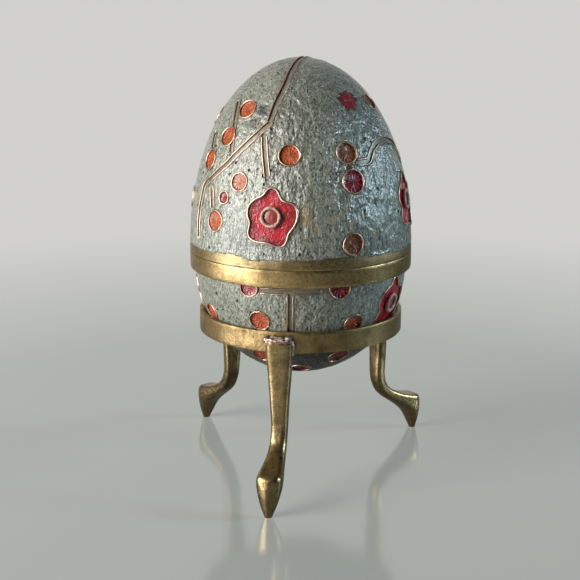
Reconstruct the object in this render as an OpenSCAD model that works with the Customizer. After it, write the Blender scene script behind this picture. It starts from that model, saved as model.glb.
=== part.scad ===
// Enamelled brass egg box on a three-legged ring stand.
// The stand's feet are on the table at z = 0, the egg's axis is Z, and -Y faces the viewer.
// Azimuths are in degrees from -Y, growing towards +X.

/* [Egg] */
// Radius of the upper half at the seam, which is the egg's greatest radius
lid_r = 28; // [26.5:0.5:34]
// Height of the upper half above the seam
lid_h = 47.5; // [40:0.5:56]
// How far the band stands out beyond the lower half's enamel
band_step = 1.2; // [0.8:0.1:1.6]
// Depth of the lower half below the seam
base_h = 32.1; // [29:0.1:36]

/* [Walls] */
// Thickness of the cast brass wall under the enamel
brass_wall = 1.2; // [0.9:0.05:1.6]
// Depth of the recess that the enamel fills
enamel_depth = 0.6; // [0.4:0.05:0.8]
// How far the raised outlines stand proud of the ground enamel
outline_rise = 0.25; // [0.1:0.05:0.5]
// How far the flower enamel lies below the ground enamel
flower_sink = 0.15; // [0.05:0.05:0.3]

/* [Seam] */
// Height of the bare brass rim of the upper half
lid_rim_h = 2.7; // [2:0.1:4]
// Height of the brass band around the lower half
band_h = 4.2; // [3.6:0.1:5.4]
// How far the neck collar stands above the seam
collar_rise = 4; // [3:0.1:6]
// How far the neck collar is let into the lower half
collar_seat = 3.2; // [2:0.1:3.6]
// How much brass the lower half keeps around the collar's seat
collar_land = 0.8; // [0.6:0.05:1]
// Wall of the neck collar
collar_wall = 0.9; // [0.7:0.05:1.2]
// Radial clearance of the upper half on the collar
collar_gap = 0.15; // [0.1:0.05:0.25]
// Room above the collar inside the upper half
collar_headroom = 0.6; // [0.4:0.1:1]

/* [Outlines] */
// Thickness of a flower's raised brass outline
outline_w = 0.4; // [0.3:0.05:0.6]
// Width of a branch's trough between its two outlines
branch_w = 0.95; // [0.7:0.05:1.2]
// Distance from a blossom's middle to the middle of a petal
petal_reach = 4.2; // [3.8:0.1:4.4]
// Radius of one petal of a blossom
petal_r = 2.3; // [2:0.1:2.5]
// Radius of a blossom's body between its petals
blossom_body_r = 4.8; // [4.4:0.1:5]
// Radius of the enamel dot in a blossom's eye
eye_r = 1.6; // [1.3:0.1:1.8]
// Width of the raised ring around a blossom's eye
eye_rim_w = 0.6; // [0.4:0.05:0.7]

/* [Ring] */
// Height of the ring's top edge above the table
ring_top = 41.5; // [37:0.5:48]
// Distance from the ring's top edge up to the egg's seam
seat_depth = 15.5; // [13.5:0.1:18]
// Height of the ring's strip
ring_h = 5.2; // [4:0.1:7]
// Thickness of the ring's strip
ring_wall = 1.1; // [0.9:0.05:1.8]
// Clearance between the egg's outlines and the ring's bore
seat_gap = 0.2; // [0.1:0.05:0.4]

/* [Legs] */
// How far a leg's top lies below the ring's top edge
leg_drop = 2.4; // [1.6:0.1:3]
// Width of a leg at its top
leg_w = 6.6; // [5:0.1:8]
// Thickness of a leg at its top
leg_t = 2.8; // [2:0.1:3.6]
// Width of a leg at its ankle
ankle_w = 4.1; // [3.2:0.1:5]
// Width of a foot at its rim
foot_w = 6.2; // [5:0.1:7.5]
// How far a foot's rim stands out from the ring
foot_reach = 14.9; // [11:0.1:18]
// Azimuth of the front leg
front_azimuth = -11; // [-25:1:5]
// Azimuth of the right leg
right_azimuth = 127; // [110:1:140]
// Azimuth of the left leg
left_azimuth = -135.5; // [-150:0.5:-110]
// How many degrees the left leg is turned on its own upright
left_turn = -10; // [-14:1:14]
// How far the left foot is bent outwards
left_splay = 2.2; // [0:0.1:3]
// Radius of the solder bead at each leg's top
solder_r = 1.3; // [0.9:0.05:1.5]

/* [Hidden] */
$fn = 96;

brass = "#a98c52";
grey_green = "#8d9a90";
red = "#b3243c";
orange = "#c8501f";
brown = "#7d4a2c";
trough_brown = "#8a6f45";
solder_grey = "#8f817c";

seam_z = ring_top + seat_depth;
base_r = lid_r - band_step;
enamel_low = seam_z + lid_rim_h;
enamel_high = seam_z - band_h;
wall_inset = enamel_depth + brass_wall;
steps = 18;      // cone faces in each half of the egg
sink = 3.2;      // how deep a cutting column reaches below the surface
proud = 2.2;     // how far a cutting column stands above the surface

// Both halves follow a superellipse: the radius goes with cos, the height with a power of sin.
lid_power = 0.965;
base_width_power = 1.05;
base_height_power = 0.83;

function lid_angle(z, inset) = asin(pow(max(0, z - seam_z) / (lid_h - inset), 1 / lid_power));
function lid_radius(z, inset = 0) = (lid_r - inset) * cos(lid_angle(z, inset));
function base_angle(z, inset) = asin(pow(max(0, seam_z - z) / (base_h - inset), 1 / base_height_power));
function base_radius(z, inset = 0) = (base_r - inset) * pow(cos(base_angle(z, inset)), base_width_power);

// Points of a half's profile at one inset, from the height z to the pole.
function lid_profile(inset, z) = [
    for (i = [0:steps])
        let (a = lid_angle(z, inset) + (90 - lid_angle(z, inset)) * i / steps)
            [i == steps ? 0 : (lid_r - inset) * cos(a), seam_z + (lid_h - inset) * pow(sin(a), lid_power)]
];
function base_profile(inset, z) = [
    for (i = [0:steps])
        let (a = base_angle(z, inset) + (90 - base_angle(z, inset)) * i / steps)
            [i == steps ? 0 : (base_r - inset) * pow(cos(a), base_width_power),
             seam_z - (base_h - inset) * pow(sin(a), base_height_power)]
];
// The lower half's brass runs straight from the seam to the enamel's edge.
function base_core_profile() = concat([[base_r - enamel_depth, seam_z]], base_profile(enamel_depth, enamel_high));
function backwards(list) = [for (i = [len(list) - 1:-1:0]) list[i]];

// A layer of the egg between two insets, from the enamel's edge to the pole.
module lid_layer(inner, outer)
    rotate_extrude() polygon(concat(lid_profile(outer, enamel_low), backwards(lid_profile(inner, enamel_low))));
module base_layer(inner, outer)
    rotate_extrude() polygon(concat(base_profile(outer, enamel_high), backwards(base_profile(inner, enamel_high))));

// A place on the enamel is an azimuth and a percentage of the way from the enamel's edge to the pole.
function lid_z(percent) = enamel_low + (seam_z + lid_h - enamel_low) * percent / 100;
function base_z(percent) = enamel_high - (enamel_high - seam_z + base_h) * percent / 100;
function lid_point(p) = let (z = lid_z(p[1]), r = lid_radius(z)) [r * sin(p[0]), -r * cos(p[0]), z];
function base_point(p) = let (z = base_z(p[1]), r = base_radius(z)) [r * sin(p[0]), -r * cos(p[0]), z];

// Elevation of the outward normal of each half at a height.
slope_step = 0.2;
function lid_tilt(z) = atan2(lid_radius(z - slope_step) - lid_radius(z + slope_step), 2 * slope_step);
function base_tilt(z) = atan2(base_radius(z - slope_step) - base_radius(z + slope_step), 2 * slope_step);

// Children are drawn with +Z along the outward normal and +Y up the surface.
module on_lid(p)
    translate(lid_point(p)) rotate([0, 0, p[0]]) rotate([90 - lid_tilt(lid_z(p[1])), 0, 0]) children();
module on_base(p)
    translate(base_point(p)) rotate([0, 0, p[0]]) rotate([90 - base_tilt(base_z(p[1])), 0, 0]) children();

// Round flowers: azimuth, percentage, radius of the enamel.
lid_orange_flowers = [
    [-6.5, 53.3, 2.3], [-43.7, 74.8, 2.2], [-51.8, 60.3, 2.2], [-63.3, 47, 2.2], [-34.4, 38.6, 2],
    [-48.2, 16.5, 2.3], [104, 52, 2.3], [112, 14, 2.3], [149, 44, 2.3], [-156, 34, 2.2], [-128, 62, 2.2],
    [-84, 24, 2.3]
];
lid_red_flowers = [
    [-43.4, 29.6, 1.3], [41.8, 79.5, 2.3], [29, 39.3, 2.6], [132, 72, 2.2], [131, 30, 2.4], [-150, 78, 2.2],
    [-124, 42, 2.5]
];
lid_brown_flowers = [[71.4, 77, 2], [27.4, 53.8, 2.4], [26.6, 7, 2.4], [-174, 62, 2.3], [-93, 68, 2.1]];
base_orange_flowers = [
    [-23.1, 32.6, 2.4], [31.2, 37, 2.4], [-62.1, 36.2, 2.3], [-30.3, 71.3, 2.4], [96, 15, 2.3], [138, 36, 2.4],
    [-156, 13, 2.3], [-112, 14, 2.3], [-137, 42, 2.4], [88, 68, 2.4]
];
base_red_flowers = [
    [-27.6, 2.4, 2.1], [20.7, 2, 2.4], [30.6, 72, 2.5], [0, 86, 2.4], [122, 12, 2.2], [-136, 12, 2.2],
    [150, 72, 2.5], [-150, 72, 2.5], [-84, 74, 2.4]
];

// Five-petalled blossoms: azimuth, percentage.
lid_blossoms = [[-15, 21.2], [75, 24.3], [164, 19], [-110, 18.5]];
base_blossoms = [[61, 26], [-176, 41], [-91, 35]];

// Branches: corners as azimuth and percentage.
lid_branches = [
    [[160, 94], [-12.3, 96.5], [-15.6, 87], [-19.5, 78], [-21, 70]],
    [[-20.5, 69], [-26.1, 64.5], [-35.1, 56.7], [-44.6, 47.5], [-56, 38.2], [-62.5, 33.7], [-64, 18.5], [-63, 5]],
    [[-23, 62], [-20.8, 53], [-17.9, 42]],
    [[-58.8, 78], [-50, 67.5], [-44.6, 53]],
    [[-70, 61], [-59.5, 42]],
    [[-54.6, 33.7], [-51, 23.5]],
    [[33.5, 48.5], [41.3, 48.5], [46, 54], [53, 57.4], [64, 57.8], [77, 54.5], [83, 44]],
    [[154, 86], [160, 68], [163, 53], [165, 35.5]],
    [[163, 60], [-172, 51], [-155, 42]],
    [[159, 64], [141, 55], [128, 37.5]],
    [[-100, 76], [-105, 57], [-108, 35]]
];
base_branches = [
    [[-5.2, 7], [-5.7, 40], [-5, 62]],
    [[-21, 4.3], [-5.2, 3.9], [9, 3.6]],
    [[110, 5], [113, 35], [118, 57]],
    [[-123, 5], [-119, 35], [-115, 57]]
];

petals = 5;
module blossom_shape(grow)
    union() {
        circle(r = blossom_body_r + grow);
        for (i = [0:petals - 1]) rotate(90 + i * 360 / petals) translate([petal_reach, 0]) circle(r = petal_r + grow);
    }

// A column through the surface, as wide as its child outline.
module column() translate([0, 0, -sink]) linear_extrude(sink + proud) children();
module disc(r) column() circle(r = r);

module lid_discs(list, grow) for (f = list) on_lid(f) disc(f[2] + grow);
module base_discs(list, grow) for (f = list) on_base(f) disc(f[2] + grow);
module lid_blossom_columns(grow) for (b = lid_blossoms) on_lid(b) column() blossom_shape(grow);
module base_blossom_columns(grow) for (b = base_blossoms) on_base(b) column() blossom_shape(grow);
module lid_eyes(r) for (b = lid_blossoms) on_lid(b) disc(r);
module base_eyes(r) for (b = base_blossoms) on_base(b) disc(r);

// A bar of width w through the surface from point a to point b, where up is the outward normal between them.
module bar(a, b, up, w) {
    along = b - a;
    x = along / norm(along);
    flat = up - (up * x) * x;
    z = flat / norm(flat);
    y = cross(z, x);
    m = (a + b) / 2;
    multmatrix([
        [x[0], y[0], z[0], m[0]],
        [x[1], y[1], z[1], m[1]],
        [x[2], y[2], z[2], m[2]],
        [0, 0, 0, 1]
    ]) {
        translate([-norm(along) / 2, -w / 2, -sink]) cube([norm(along), w, sink + 2 * proud]);
        for (end = [-1, 1]) translate([end * norm(along) / 2, 0, -sink]) cylinder(r = w / 2, h = sink + 2 * proud);
    }
}
function outward(a, b) = let (m = (a + b) / 2) [m[0], m[1], (m[2] - seam_z) * lid_r * lid_r / (lid_h * lid_h)];
module lid_bars(w)
    for (branch = lid_branches) for (i = [0:len(branch) - 2])
        let (a = lid_point(branch[i]), b = lid_point(branch[i + 1])) bar(a, b, outward(a, b), w);
module base_bars(w)
    for (branch = base_branches) for (i = [0:len(branch) - 2])
        let (a = base_point(branch[i]), b = base_point(branch[i + 1])) bar(a, b, outward(a, b), w);

branch_outer_w = branch_w + 2 * outline_w;

// Everything that the outlines enclose, grown by the outline's own thickness.
module lid_pockets(grow) {
    lid_discs(lid_orange_flowers, grow);
    lid_discs(lid_red_flowers, grow);
    lid_discs(lid_brown_flowers, grow);
    lid_blossom_columns(grow);
}
module base_pockets(grow) {
    base_discs(base_orange_flowers, grow);
    base_discs(base_red_flowers, grow);
    base_blossom_columns(grow);
}

module lid_ground_enamel() color(grey_green) difference() {
    lid_layer(enamel_depth, 0);
    lid_pockets(outline_w);
    lid_bars(branch_outer_w);
}
module base_ground_enamel() color(grey_green) difference() {
    base_layer(enamel_depth, 0);
    base_pockets(outline_w);
    base_bars(branch_outer_w);
}
module lid_outlines() color(brass) intersection() {
    lid_layer(enamel_depth, -outline_rise);
    union() {
        difference() {
            lid_bars(branch_outer_w);
            lid_bars(branch_w);
            lid_pockets(outline_w);
        }
        difference() {
            lid_pockets(outline_w);
            lid_pockets(0);
        }
        difference() {
            lid_eyes(eye_r + eye_rim_w);
            lid_eyes(eye_r);
        }
    }
}
module base_outlines() color(brass) intersection() {
    base_layer(enamel_depth, -outline_rise);
    union() {
        difference() {
            base_bars(branch_outer_w);
            base_bars(branch_w);
            base_pockets(outline_w);
        }
        difference() {
            base_pockets(outline_w);
            base_pockets(0);
        }
        difference() {
            base_eyes(eye_r + eye_rim_w);
            base_eyes(eye_r);
        }
    }
}
module lid_red_enamel() color(red) intersection() {
    lid_layer(enamel_depth, flower_sink);
    union() {
        lid_discs(lid_red_flowers, 0);
        difference() {
            lid_blossom_columns(0);
            lid_eyes(eye_r + eye_rim_w);
        }
    }
}
module base_red_enamel() color(red) intersection() {
    base_layer(enamel_depth, flower_sink);
    union() {
        base_discs(base_red_flowers, 0);
        difference() {
            base_blossom_columns(0);
            base_eyes(eye_r + eye_rim_w);
        }
    }
}
module lid_orange_enamel() color(orange) intersection() {
    lid_layer(enamel_depth, flower_sink);
    lid_discs(lid_orange_flowers, 0);
}
module base_orange_enamel() color(orange) intersection() {
    base_layer(enamel_depth, flower_sink);
    union() {
        base_discs(base_orange_flowers, 0);
        base_eyes(eye_r);
    }
}
module lid_brown_enamel() color(brown) intersection() {
    lid_layer(enamel_depth, flower_sink);
    union() {
        lid_discs(lid_brown_flowers, 0);
        lid_eyes(eye_r);
    }
}
module lid_branch_enamel() color(trough_brown) intersection() {
    lid_layer(enamel_depth, flower_sink);
    difference() {
        lid_bars(branch_w);
        lid_pockets(outline_w);
    }
}
module base_branch_enamel() color(trough_brown) intersection() {
    base_layer(enamel_depth, flower_sink);
    difference() {
        base_bars(branch_w);
        base_pockets(outline_w);
    }
}

// The cast shells have full radius at the rim and are let in by the enamel's depth elsewhere.
collar_r = base_r - enamel_depth - collar_land;
lid_bore_r = collar_r + collar_gap;
lid_bore_h = collar_rise + collar_headroom;
module lid_shell() color(brass) difference() {
    rotate_extrude() polygon(concat(
        [[0, seam_z], [lid_r, seam_z], [lid_radius(enamel_low), enamel_low]],
        lid_profile(enamel_depth, enamel_low)
    ));
    rotate_extrude() polygon(concat(
        [[0, seam_z + lid_bore_h]], lid_profile(wall_inset, seam_z + lid_bore_h)
    ));
    translate([0, 0, seam_z - 1]) cylinder(r = lid_bore_r, h = lid_bore_h + 1.01);
}
module base_shell() color(brass) difference() {
    rotate_extrude() polygon(concat([[0, seam_z]], base_core_profile()));
    rotate_extrude() polygon(concat([[0, seam_z]], base_profile(wall_inset, seam_z)));
    translate([0, 0, seam_z - collar_seat]) cylinder(r = collar_r, h = collar_seat + 1);
}
module base_band() color(brass) difference() {
    translate([0, 0, enamel_high]) cylinder(r = lid_r, h = band_h);
    rotate_extrude() polygon(concat([[0, seam_z]], base_core_profile()));
}
module neck_collar() color(brass) difference() {
    translate([0, 0, seam_z - collar_seat]) cylinder(r = collar_r, h = collar_seat + collar_rise);
    translate([0, 0, seam_z - collar_seat - 1]) cylinder(r = collar_r - collar_wall, h = collar_seat + collar_rise + 2);
}

// The ring's bore clears the egg's outlines by seat_gap at its top edge.
ring_bore_r = base_radius(ring_top, -outline_rise) + seat_gap;
ring_r = ring_bore_r + ring_wall;
module stand_ring() color(brass) difference() {
    translate([0, 0, ring_top - ring_h]) cylinder(r = ring_r, h = ring_h);
    translate([0, 0, ring_top - ring_h - 1]) cylinder(r = ring_bore_r, h = ring_h + 2);
}

// Stations down a leg. Each gives the inner edge and the outer edge, as the distance out from the ring's
// outer face and the share of the leg's height, then the width across and how square the section is.
leg_top = ring_top - leg_drop;
leg_root = 0.45; // how far the uncut leg reaches into the ring
sole_w = 1.8;    // width of the flat under a foot
leg_stations = [
    [-leg_root, 1, leg_t, 1, leg_w, 0.6],
    [-leg_root, 0.93, leg_t - 0.3, 0.93, leg_w - 0.1, 0.6],
    [-1.1, 0.785, leg_t - 0.8, 0.803, leg_w - 0.8, 0.6],
    [-1, 0.63, leg_t - 0.6, 0.67, leg_w - 1.7, 0.6],
    [-1.1, 0.517, leg_t - 0.6, 0.562, ankle_w + 0.3, 0.62],
    [-0.8, 0.42, leg_t - 0.7, 0.47, ankle_w, 0.64],
    [foot_reach * 0.04, 0.338, foot_reach * 0.195, 0.391, ankle_w, 0.66],
    [foot_reach * 0.174, 0.286, foot_reach * 0.31, 0.343, ankle_w + 0.3, 0.68],
    [foot_reach * 0.342, 0.24, foot_reach * 0.47, 0.31, ankle_w + 0.8, 0.7],
    [foot_reach * 0.503, 0.197, foot_reach * 0.672, 0.289, foot_w - 0.6, 0.72],
    [foot_reach * 0.611, 0.164, foot_reach * 0.862, 0.276, foot_w - 0.1, 0.74],
    [foot_reach * 0.678, 0.138, foot_reach * 0.952, 0.261, foot_w, 0.76],
    [foot_reach * 0.732, 0.107, foot_reach * 0.99, 0.22, foot_w - 0.4, 0.8],
    [foot_reach * 0.792, 0.064, foot_reach, 0.156, foot_w - 1.4, 0.86],
    [foot_reach * 0.839, 0.023, foot_reach * 0.99, 0.087, foot_w - 2.8, 0.9],
    [foot_reach * 0.862, 0, foot_reach * 0.96, 0, sole_w, 0.9]
];
leg_sides = 16;
leg_fill = 2;    // rings per station

// Catmull-Rom curve through the stations.
function station(i) = leg_stations[max(0, min(len(leg_stations) - 1, i))];
function between(i, t) = let (p = station(i - 1), q = station(i), r = station(i + 1), s = station(i + 2))
    0.5 * ((2 * q) + (r - p) * t + (2 * p - 5 * q + 4 * r - s) * t * t + (3 * q - p - 3 * r + s) * t * t * t);
leg_rings = concat(
    [for (i = [0:len(leg_stations) - 2]) for (k = [0:leg_fill - 1]) between(i, k / leg_fill)],
    [leg_stations[len(leg_stations) - 1]]
);
function bent(v, square) = sign(v) * pow(abs(v), square);
function leg_ring(s, turn, splay) = [
    for (k = [0:leg_sides - 1])
        let (
            c = bent(cos(360 * k / leg_sides), s[5]) / 2,
            w = bent(sin(360 * k / leg_sides), s[5]) / 2 * s[4],
            share = (s[1] + s[3]) / 2 + (s[3] - s[1]) * c,
            out = (s[0] + s[2]) / 2 + (s[2] - s[0]) * c + splay * (1 - share)
        )
            [w * cos(turn) + out * sin(turn), w * sin(turn) - out * cos(turn) - ring_r, leg_top * share]
];
leg_last = (len(leg_rings) - 1) * leg_sides;
leg_faces = concat(
    [[for (k = [0:leg_sides - 1]) k]],
    [for (i = [0:len(leg_rings) - 2]) for (k = [0:leg_sides - 1])
        let (a = i * leg_sides + k, b = i * leg_sides + (k + 1) % leg_sides) [a, a + leg_sides, b]],
    [for (i = [0:len(leg_rings) - 2]) for (k = [0:leg_sides - 1])
        let (a = i * leg_sides + k, b = i * leg_sides + (k + 1) % leg_sides) [b, a + leg_sides, b + leg_sides]],
    [[for (k = [leg_sides - 1:-1:0]) leg_last + k]]
);
module leg(azimuth, turn, splay) color(brass) rotate([0, 0, azimuth]) difference() {
    polyhedron(points = [for (s = leg_rings) each leg_ring(s, turn, splay)], faces = leg_faces, convexity = 6);
    translate([0, 0, ring_top - ring_h]) cylinder(r = ring_r, h = ring_h);
}
module front_leg() leg(front_azimuth, 0, 0);
module right_leg() leg(right_azimuth, 0, 0);
module left_leg() leg(left_azimuth, left_turn, left_splay);

// A bead of solder lies along each leg's top, against the ring.
solder_w = leg_w - 0.6;
solder_out = 0.7; // distance of the bead's middle from the ring
module solder(azimuth, turn) color(solder_grey) rotate([0, 0, azimuth]) difference() {
    translate([0, -ring_r, leg_top]) rotate([0, 0, turn]) {
        translate([-solder_w / 2, -solder_out, 0]) rotate([0, 90, 0]) cylinder(r = solder_r, h = solder_w);
        for (side = [-1, 1]) translate([side * solder_w / 2, -solder_out, 0]) sphere(r = solder_r);
    }
    cylinder(r = ring_r, h = ring_top + 1);
    translate([-lid_r, -2 * lid_r, leg_top - 4]) cube([2 * lid_r, 2 * lid_r, 4]);
}
module front_solder() solder(front_azimuth, 0);
module right_solder() solder(right_azimuth, 0);
module left_solder() solder(left_azimuth, left_turn);

stand_ring();
front_leg();
right_leg();
left_leg();
front_solder();
right_solder();
left_solder();
base_shell();
base_band();
neck_collar();
base_ground_enamel();
base_outlines();
base_red_enamel();
base_orange_enamel();
base_branch_enamel();
lid_shell();
lid_ground_enamel();
lid_outlines();
lid_red_enamel();
lid_orange_enamel();
lid_brown_enamel();
lid_branch_enamel();
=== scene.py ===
# Enamelled brass egg box on a three-legged ring stand.
# Lengths are in millimetres and the studio's in metres, azimuths in degrees from -Y towards +X.
import math

import bpy
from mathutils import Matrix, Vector, kdtree, noise


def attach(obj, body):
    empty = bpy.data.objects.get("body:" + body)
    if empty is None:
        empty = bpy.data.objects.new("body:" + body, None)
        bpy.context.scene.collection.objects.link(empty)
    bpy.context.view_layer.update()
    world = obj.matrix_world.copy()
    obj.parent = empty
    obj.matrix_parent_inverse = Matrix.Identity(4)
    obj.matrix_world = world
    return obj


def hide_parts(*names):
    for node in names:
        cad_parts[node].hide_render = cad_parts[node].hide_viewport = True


mm = 0.001
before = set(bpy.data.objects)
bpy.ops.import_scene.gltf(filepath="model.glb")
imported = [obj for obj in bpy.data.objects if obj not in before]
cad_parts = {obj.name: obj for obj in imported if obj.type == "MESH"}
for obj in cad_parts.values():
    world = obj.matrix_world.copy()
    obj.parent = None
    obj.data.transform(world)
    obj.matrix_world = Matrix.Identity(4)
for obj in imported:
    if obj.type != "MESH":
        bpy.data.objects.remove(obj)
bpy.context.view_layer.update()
print("frame loaded:", len(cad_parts), "nodes")

egg = {
    "seam": 57.0,
    "lidRadius": 28.0,
    "lidHeight": 47.5,
    "lidPower": 0.965,
    "baseRadius": 26.8,
    "baseDepth": 32.1,
    "baseWidthPower": 1.05,
    "baseHeightPower": 0.83,
    "enamelDepth": 0.6,
    "wall": 1.8,
    "flatTop": 7.0,
}


# ---- shape of the egg


def lidRadius(z, inset=0.0):
    share = max(0.0, z - egg["seam"]) / (egg["lidHeight"] - inset)
    return (egg["lidRadius"] - inset) * math.cos(math.asin(min(1.0, share ** (1 / egg["lidPower"]))))


def baseRadius(z, inset=0.0):
    share = max(0.0, egg["seam"] - z) / (egg["baseDepth"] - inset)
    angle = math.asin(min(1.0, share ** (1 / egg["baseHeightPower"])))
    return (egg["baseRadius"] - inset) * max(0.0, math.cos(angle)) ** egg["baseWidthPower"]


def lidHeightOf(away):
    return egg["seam"] + egg["lidHeight"] * (1 - (away / egg["lidRadius"]) ** 2) ** (egg["lidPower"] / 2)


def baseHeightOf(away):
    cosine = (away / egg["baseRadius"]) ** (1 / egg["baseWidthPower"])
    return egg["seam"] - egg["baseDepth"] * (1 - cosine**2) ** (egg["baseHeightPower"] / 2)


lid = {
    "side": "lid",
    "body": "egg_lid",
    "radius": lidRadius,
    "height": lidHeightOf,
    "edge": 59.7,
    "pole": egg["seam"] + egg["lidHeight"],
}
base = {
    "side": "base",
    "body": "egg_base",
    "radius": baseRadius,
    "height": baseHeightOf,
    "edge": 52.8,
    "pole": egg["seam"] - egg["baseDepth"],
}


def awayOf(point):
    return math.hypot(point.x, point.y)


def azimuthOf(point):
    return math.degrees(math.atan2(point.x, -point.y))


def clipped(value, low=0.0, high=1.0):
    return min(high, max(low, value))


def waver(x, y, z):
    return noise.noise(Vector((x, y, z)))


def heightAt(half, percent):
    return half["edge"] + (half["pole"] - half["edge"]) * percent / 100


def slopeAt(half, z):
    # change of radius per millimetre of height
    if half is lid:
        up, down = min(z + 0.1, half["pole"] - 0.02), min(z - 0.1, half["pole"] - 0.3)
    else:
        up, down = max(z + 0.1, half["pole"] + 0.3), max(z - 0.1, half["pole"] + 0.02)
    return (half["radius"](up) - half["radius"](down)) / (up - down)


def outward(half, point):
    away = awayOf(point) or 1e-6
    return Vector((point.x / away, point.y / away, -slopeAt(half, point.z))).normalized()


def onto(half, point, along):
    # slides a point along a direction until it lies on the egg; near the pole, straight up or down
    for step in range(5):
        away = awayOf(point) or 1e-6
        if away < egg["flatTop"]:
            return Vector((point.x, point.y, half["height"](away)))
        miss = away - half["radius"](point.z)
        steep = (point.x * along.x + point.y * along.y) / away - slopeAt(half, point.z) * along.z
        point = point - along * (miss / (steep if abs(steep) > 0.2 else 0.2))
    return point


def surfaceAt(half, azimuth, z):
    turn = math.radians(azimuth)
    return Vector((half["radius"](z) * math.sin(turn), -half["radius"](z) * math.cos(turn), z))


def spotFrame(half, spot):
    # middle of a flower, with the directions right, up and out there
    middle = surfaceAt(half, spot[0], heightAt(half, spot[1]))
    out = outward(half, middle)
    right = Vector((math.cos(math.radians(spot[0])), math.sin(math.radians(spot[0])), 0))
    return middle, right, out.cross(right), out


def wrapped(half, place, x, y, rise):
    middle, right, up, out = place
    point = onto(half, middle + right * x + up * y, out)
    return point + outward(half, point) * rise


# ---- what is drawn on the egg

# azimuth, percentage of the way from the enamel's edge to the pole, radius
lidFlowers = {
    "orange": [
        (-6.5, 53.3, 2.3), (-43.7, 74.8, 2.2), (-51.8, 60.3, 2.2), (-63.3, 47, 2.2), (-34.4, 38.6, 2),
        (-48.2, 16.5, 2.3), (104, 52, 2.3), (112, 14, 2.3), (149, 44, 2.3), (-156, 34, 2.2),
        (-128, 62, 2.2), (-84, 24, 2.3),
    ],
    "red": [
        (-43.4, 29.6, 1.3), (29, 39.3, 2.6), (132, 72, 2.2), (131, 30, 2.4), (-124, 42, 2.5),
    ],
    "star": [(41.8, 79.5, 2.6), (-150, 78, 2.5)],
    "tail": [(28.4, 46.4, 0.85)],
    "brown": [(71.4, 77, 2), (27.4, 53.8, 2.4), (26.6, 7, 2.4), (-174, 62, 2.3), (-93, 68, 2.1)],
}
baseFlowers = {
    "daisy": [
        (-23.1, 32.6, 2.4), (31.2, 37, 2.4), (-62.1, 36.2, 2.3), (-30.3, 71.3, 2.4), (96, 15, 2.3),
        (138, 36, 2.4), (-156, 13, 2.3), (-112, 14, 2.3), (-137, 42, 2.4), (88, 68, 2.4),
    ],
    "red": [
        (-27.6, 2.4, 2.1), (20.7, 2, 2.4), (30.6, 72, 2.5), (0, 86, 2.4), (122, 12, 2.2),
        (-136, 12, 2.2), (150, 72, 2.5), (-150, 72, 2.5), (-84, 74, 2.4),
    ],
}
lidBlossoms = [(-15, 21.9), (75, 24.3), (164, 19), (-110, 18.5)]
baseBlossoms = [(61, 26), (-176, 41), (-91, 35)]
lidBranches = [
    [(160, 94), (-12.3, 96.5), (-15.6, 87), (-19.5, 78), (-21, 70)],
    [
        (-20.5, 69), (-26.1, 64.5), (-35.1, 56.7), (-44.6, 47.5),
        (-56, 38.2), (-62.5, 33.7), (-64, 18.5), (-63, 5),
    ],
    [(-23, 62), (-20.8, 53), (-17.9, 42)],
    [(-58.8, 78), (-50, 67.5), (-44.6, 53)],
    [(-70, 61), (-59.5, 42)],
    [(-54.6, 33.7), (-51, 23.5)],
    [(33.5, 48.5), (41.3, 48.5), (46, 54), (53, 57.4), (64, 57.8), (77, 54.5), (83, 44)],
    [(154, 86), (160, 68), (163, 53), (165, 35.5)],
    [(163, 60), (-172, 51), (-155, 42)],
    [(159, 64), (141, 55), (128, 37.5)],
    [(-100, 76), (-105, 57), (-108, 35)],
]
baseBranches = [
    [(-5.2, 7), (-5.7, 40), (-5, 62)],
    [(-21, 4.3), (-5.2, 3.9), (9, 3.6)],
    [(110, 5), (113, 35), (118, 57)],
    [(-123, 5), (-119, 35), (-115, 57)],
]

# Old stains of the ground: azimuth, percentage, half width and half height, kind.
lidStains = [
    (-29.5, 74.5, 1.8, 2.3, "soot"), (-33.5, 69, 1.0, 1.6, "soot"), (118, 60, 1.6, 1.2, "soot"),
    (-25, 67, 1.5, 1.0, "gilt"), (-28, 62, 0.8, 1.4, "gilt"), (2.5, 23, 1.5, 2.4, "gilt"),
    (6.5, 17, 0.7, 1.2, "gilt"), (21, 22, 0.6, 1.7, "gilt"), (16, 20, 0.8, 1.0, "gilt"),
    (-140, 28, 1.2, 2.0, "gilt"), (40, 12, 0.8, 0.8, "gilt"),
]

# Distance from a blossom's eye to its enamel's edge, by direction: petal tips and the hollows between them.
blossomEdge = [
    (14, 6.2), (24, 6.15), (56, 4.6), (90, 6.65), (116, 5.15), (159, 5.8),
    (172, 5.65), (195, 5.1), (224, 6.9), (264, 5.9), (294, 7.1), (323, 5.5),
]

pattern = {
    "wire": 0.19,
    "wireRise": 0.05,
    "troughHalf": 0.475,
    "eye": 1.72,
    "eyeRim": 0.88,
    "ridge": 0.27,
    "sink": 0.26,
    "well": 0.55,
    "branchStep": 0.3,
}


def blossomRadius(angle):
    # smooth curve through the blossom's tips and hollows
    turn = math.degrees(angle) % 360
    for (here, size), (after, nextSize) in zip(blossomEdge, blossomEdge[1:] + blossomEdge[:1]):
        span, gone = (after - here) % 360, (turn - here) % 360
        if gone < span:
            return size + (nextSize - size) * (0.5 - 0.5 * math.cos(math.pi * gone / span))
    return blossomEdge[0][1]


def discRadius(size, seed):
    def radius(angle):
        wobble = waver(math.cos(angle) * 1.1, math.sin(angle) * 1.1, seed * 3.7)
        return size * (1 + 0.05 * wobble)

    return radius


def petalRadius(size, petals, depth):
    def radius(angle):
        wobble = waver(math.cos(angle) * 2.3, math.sin(angle) * 2.3, size)
        return size * (1 - depth + depth * abs(math.cos(petals * angle / 2)) + 0.5 * depth * wobble)

    return radius


# petals and depth of the notches, for flowers that aren't plain discs
petalled = {"star": (9, 0.34), "daisy": (13, 0.09)}


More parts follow.
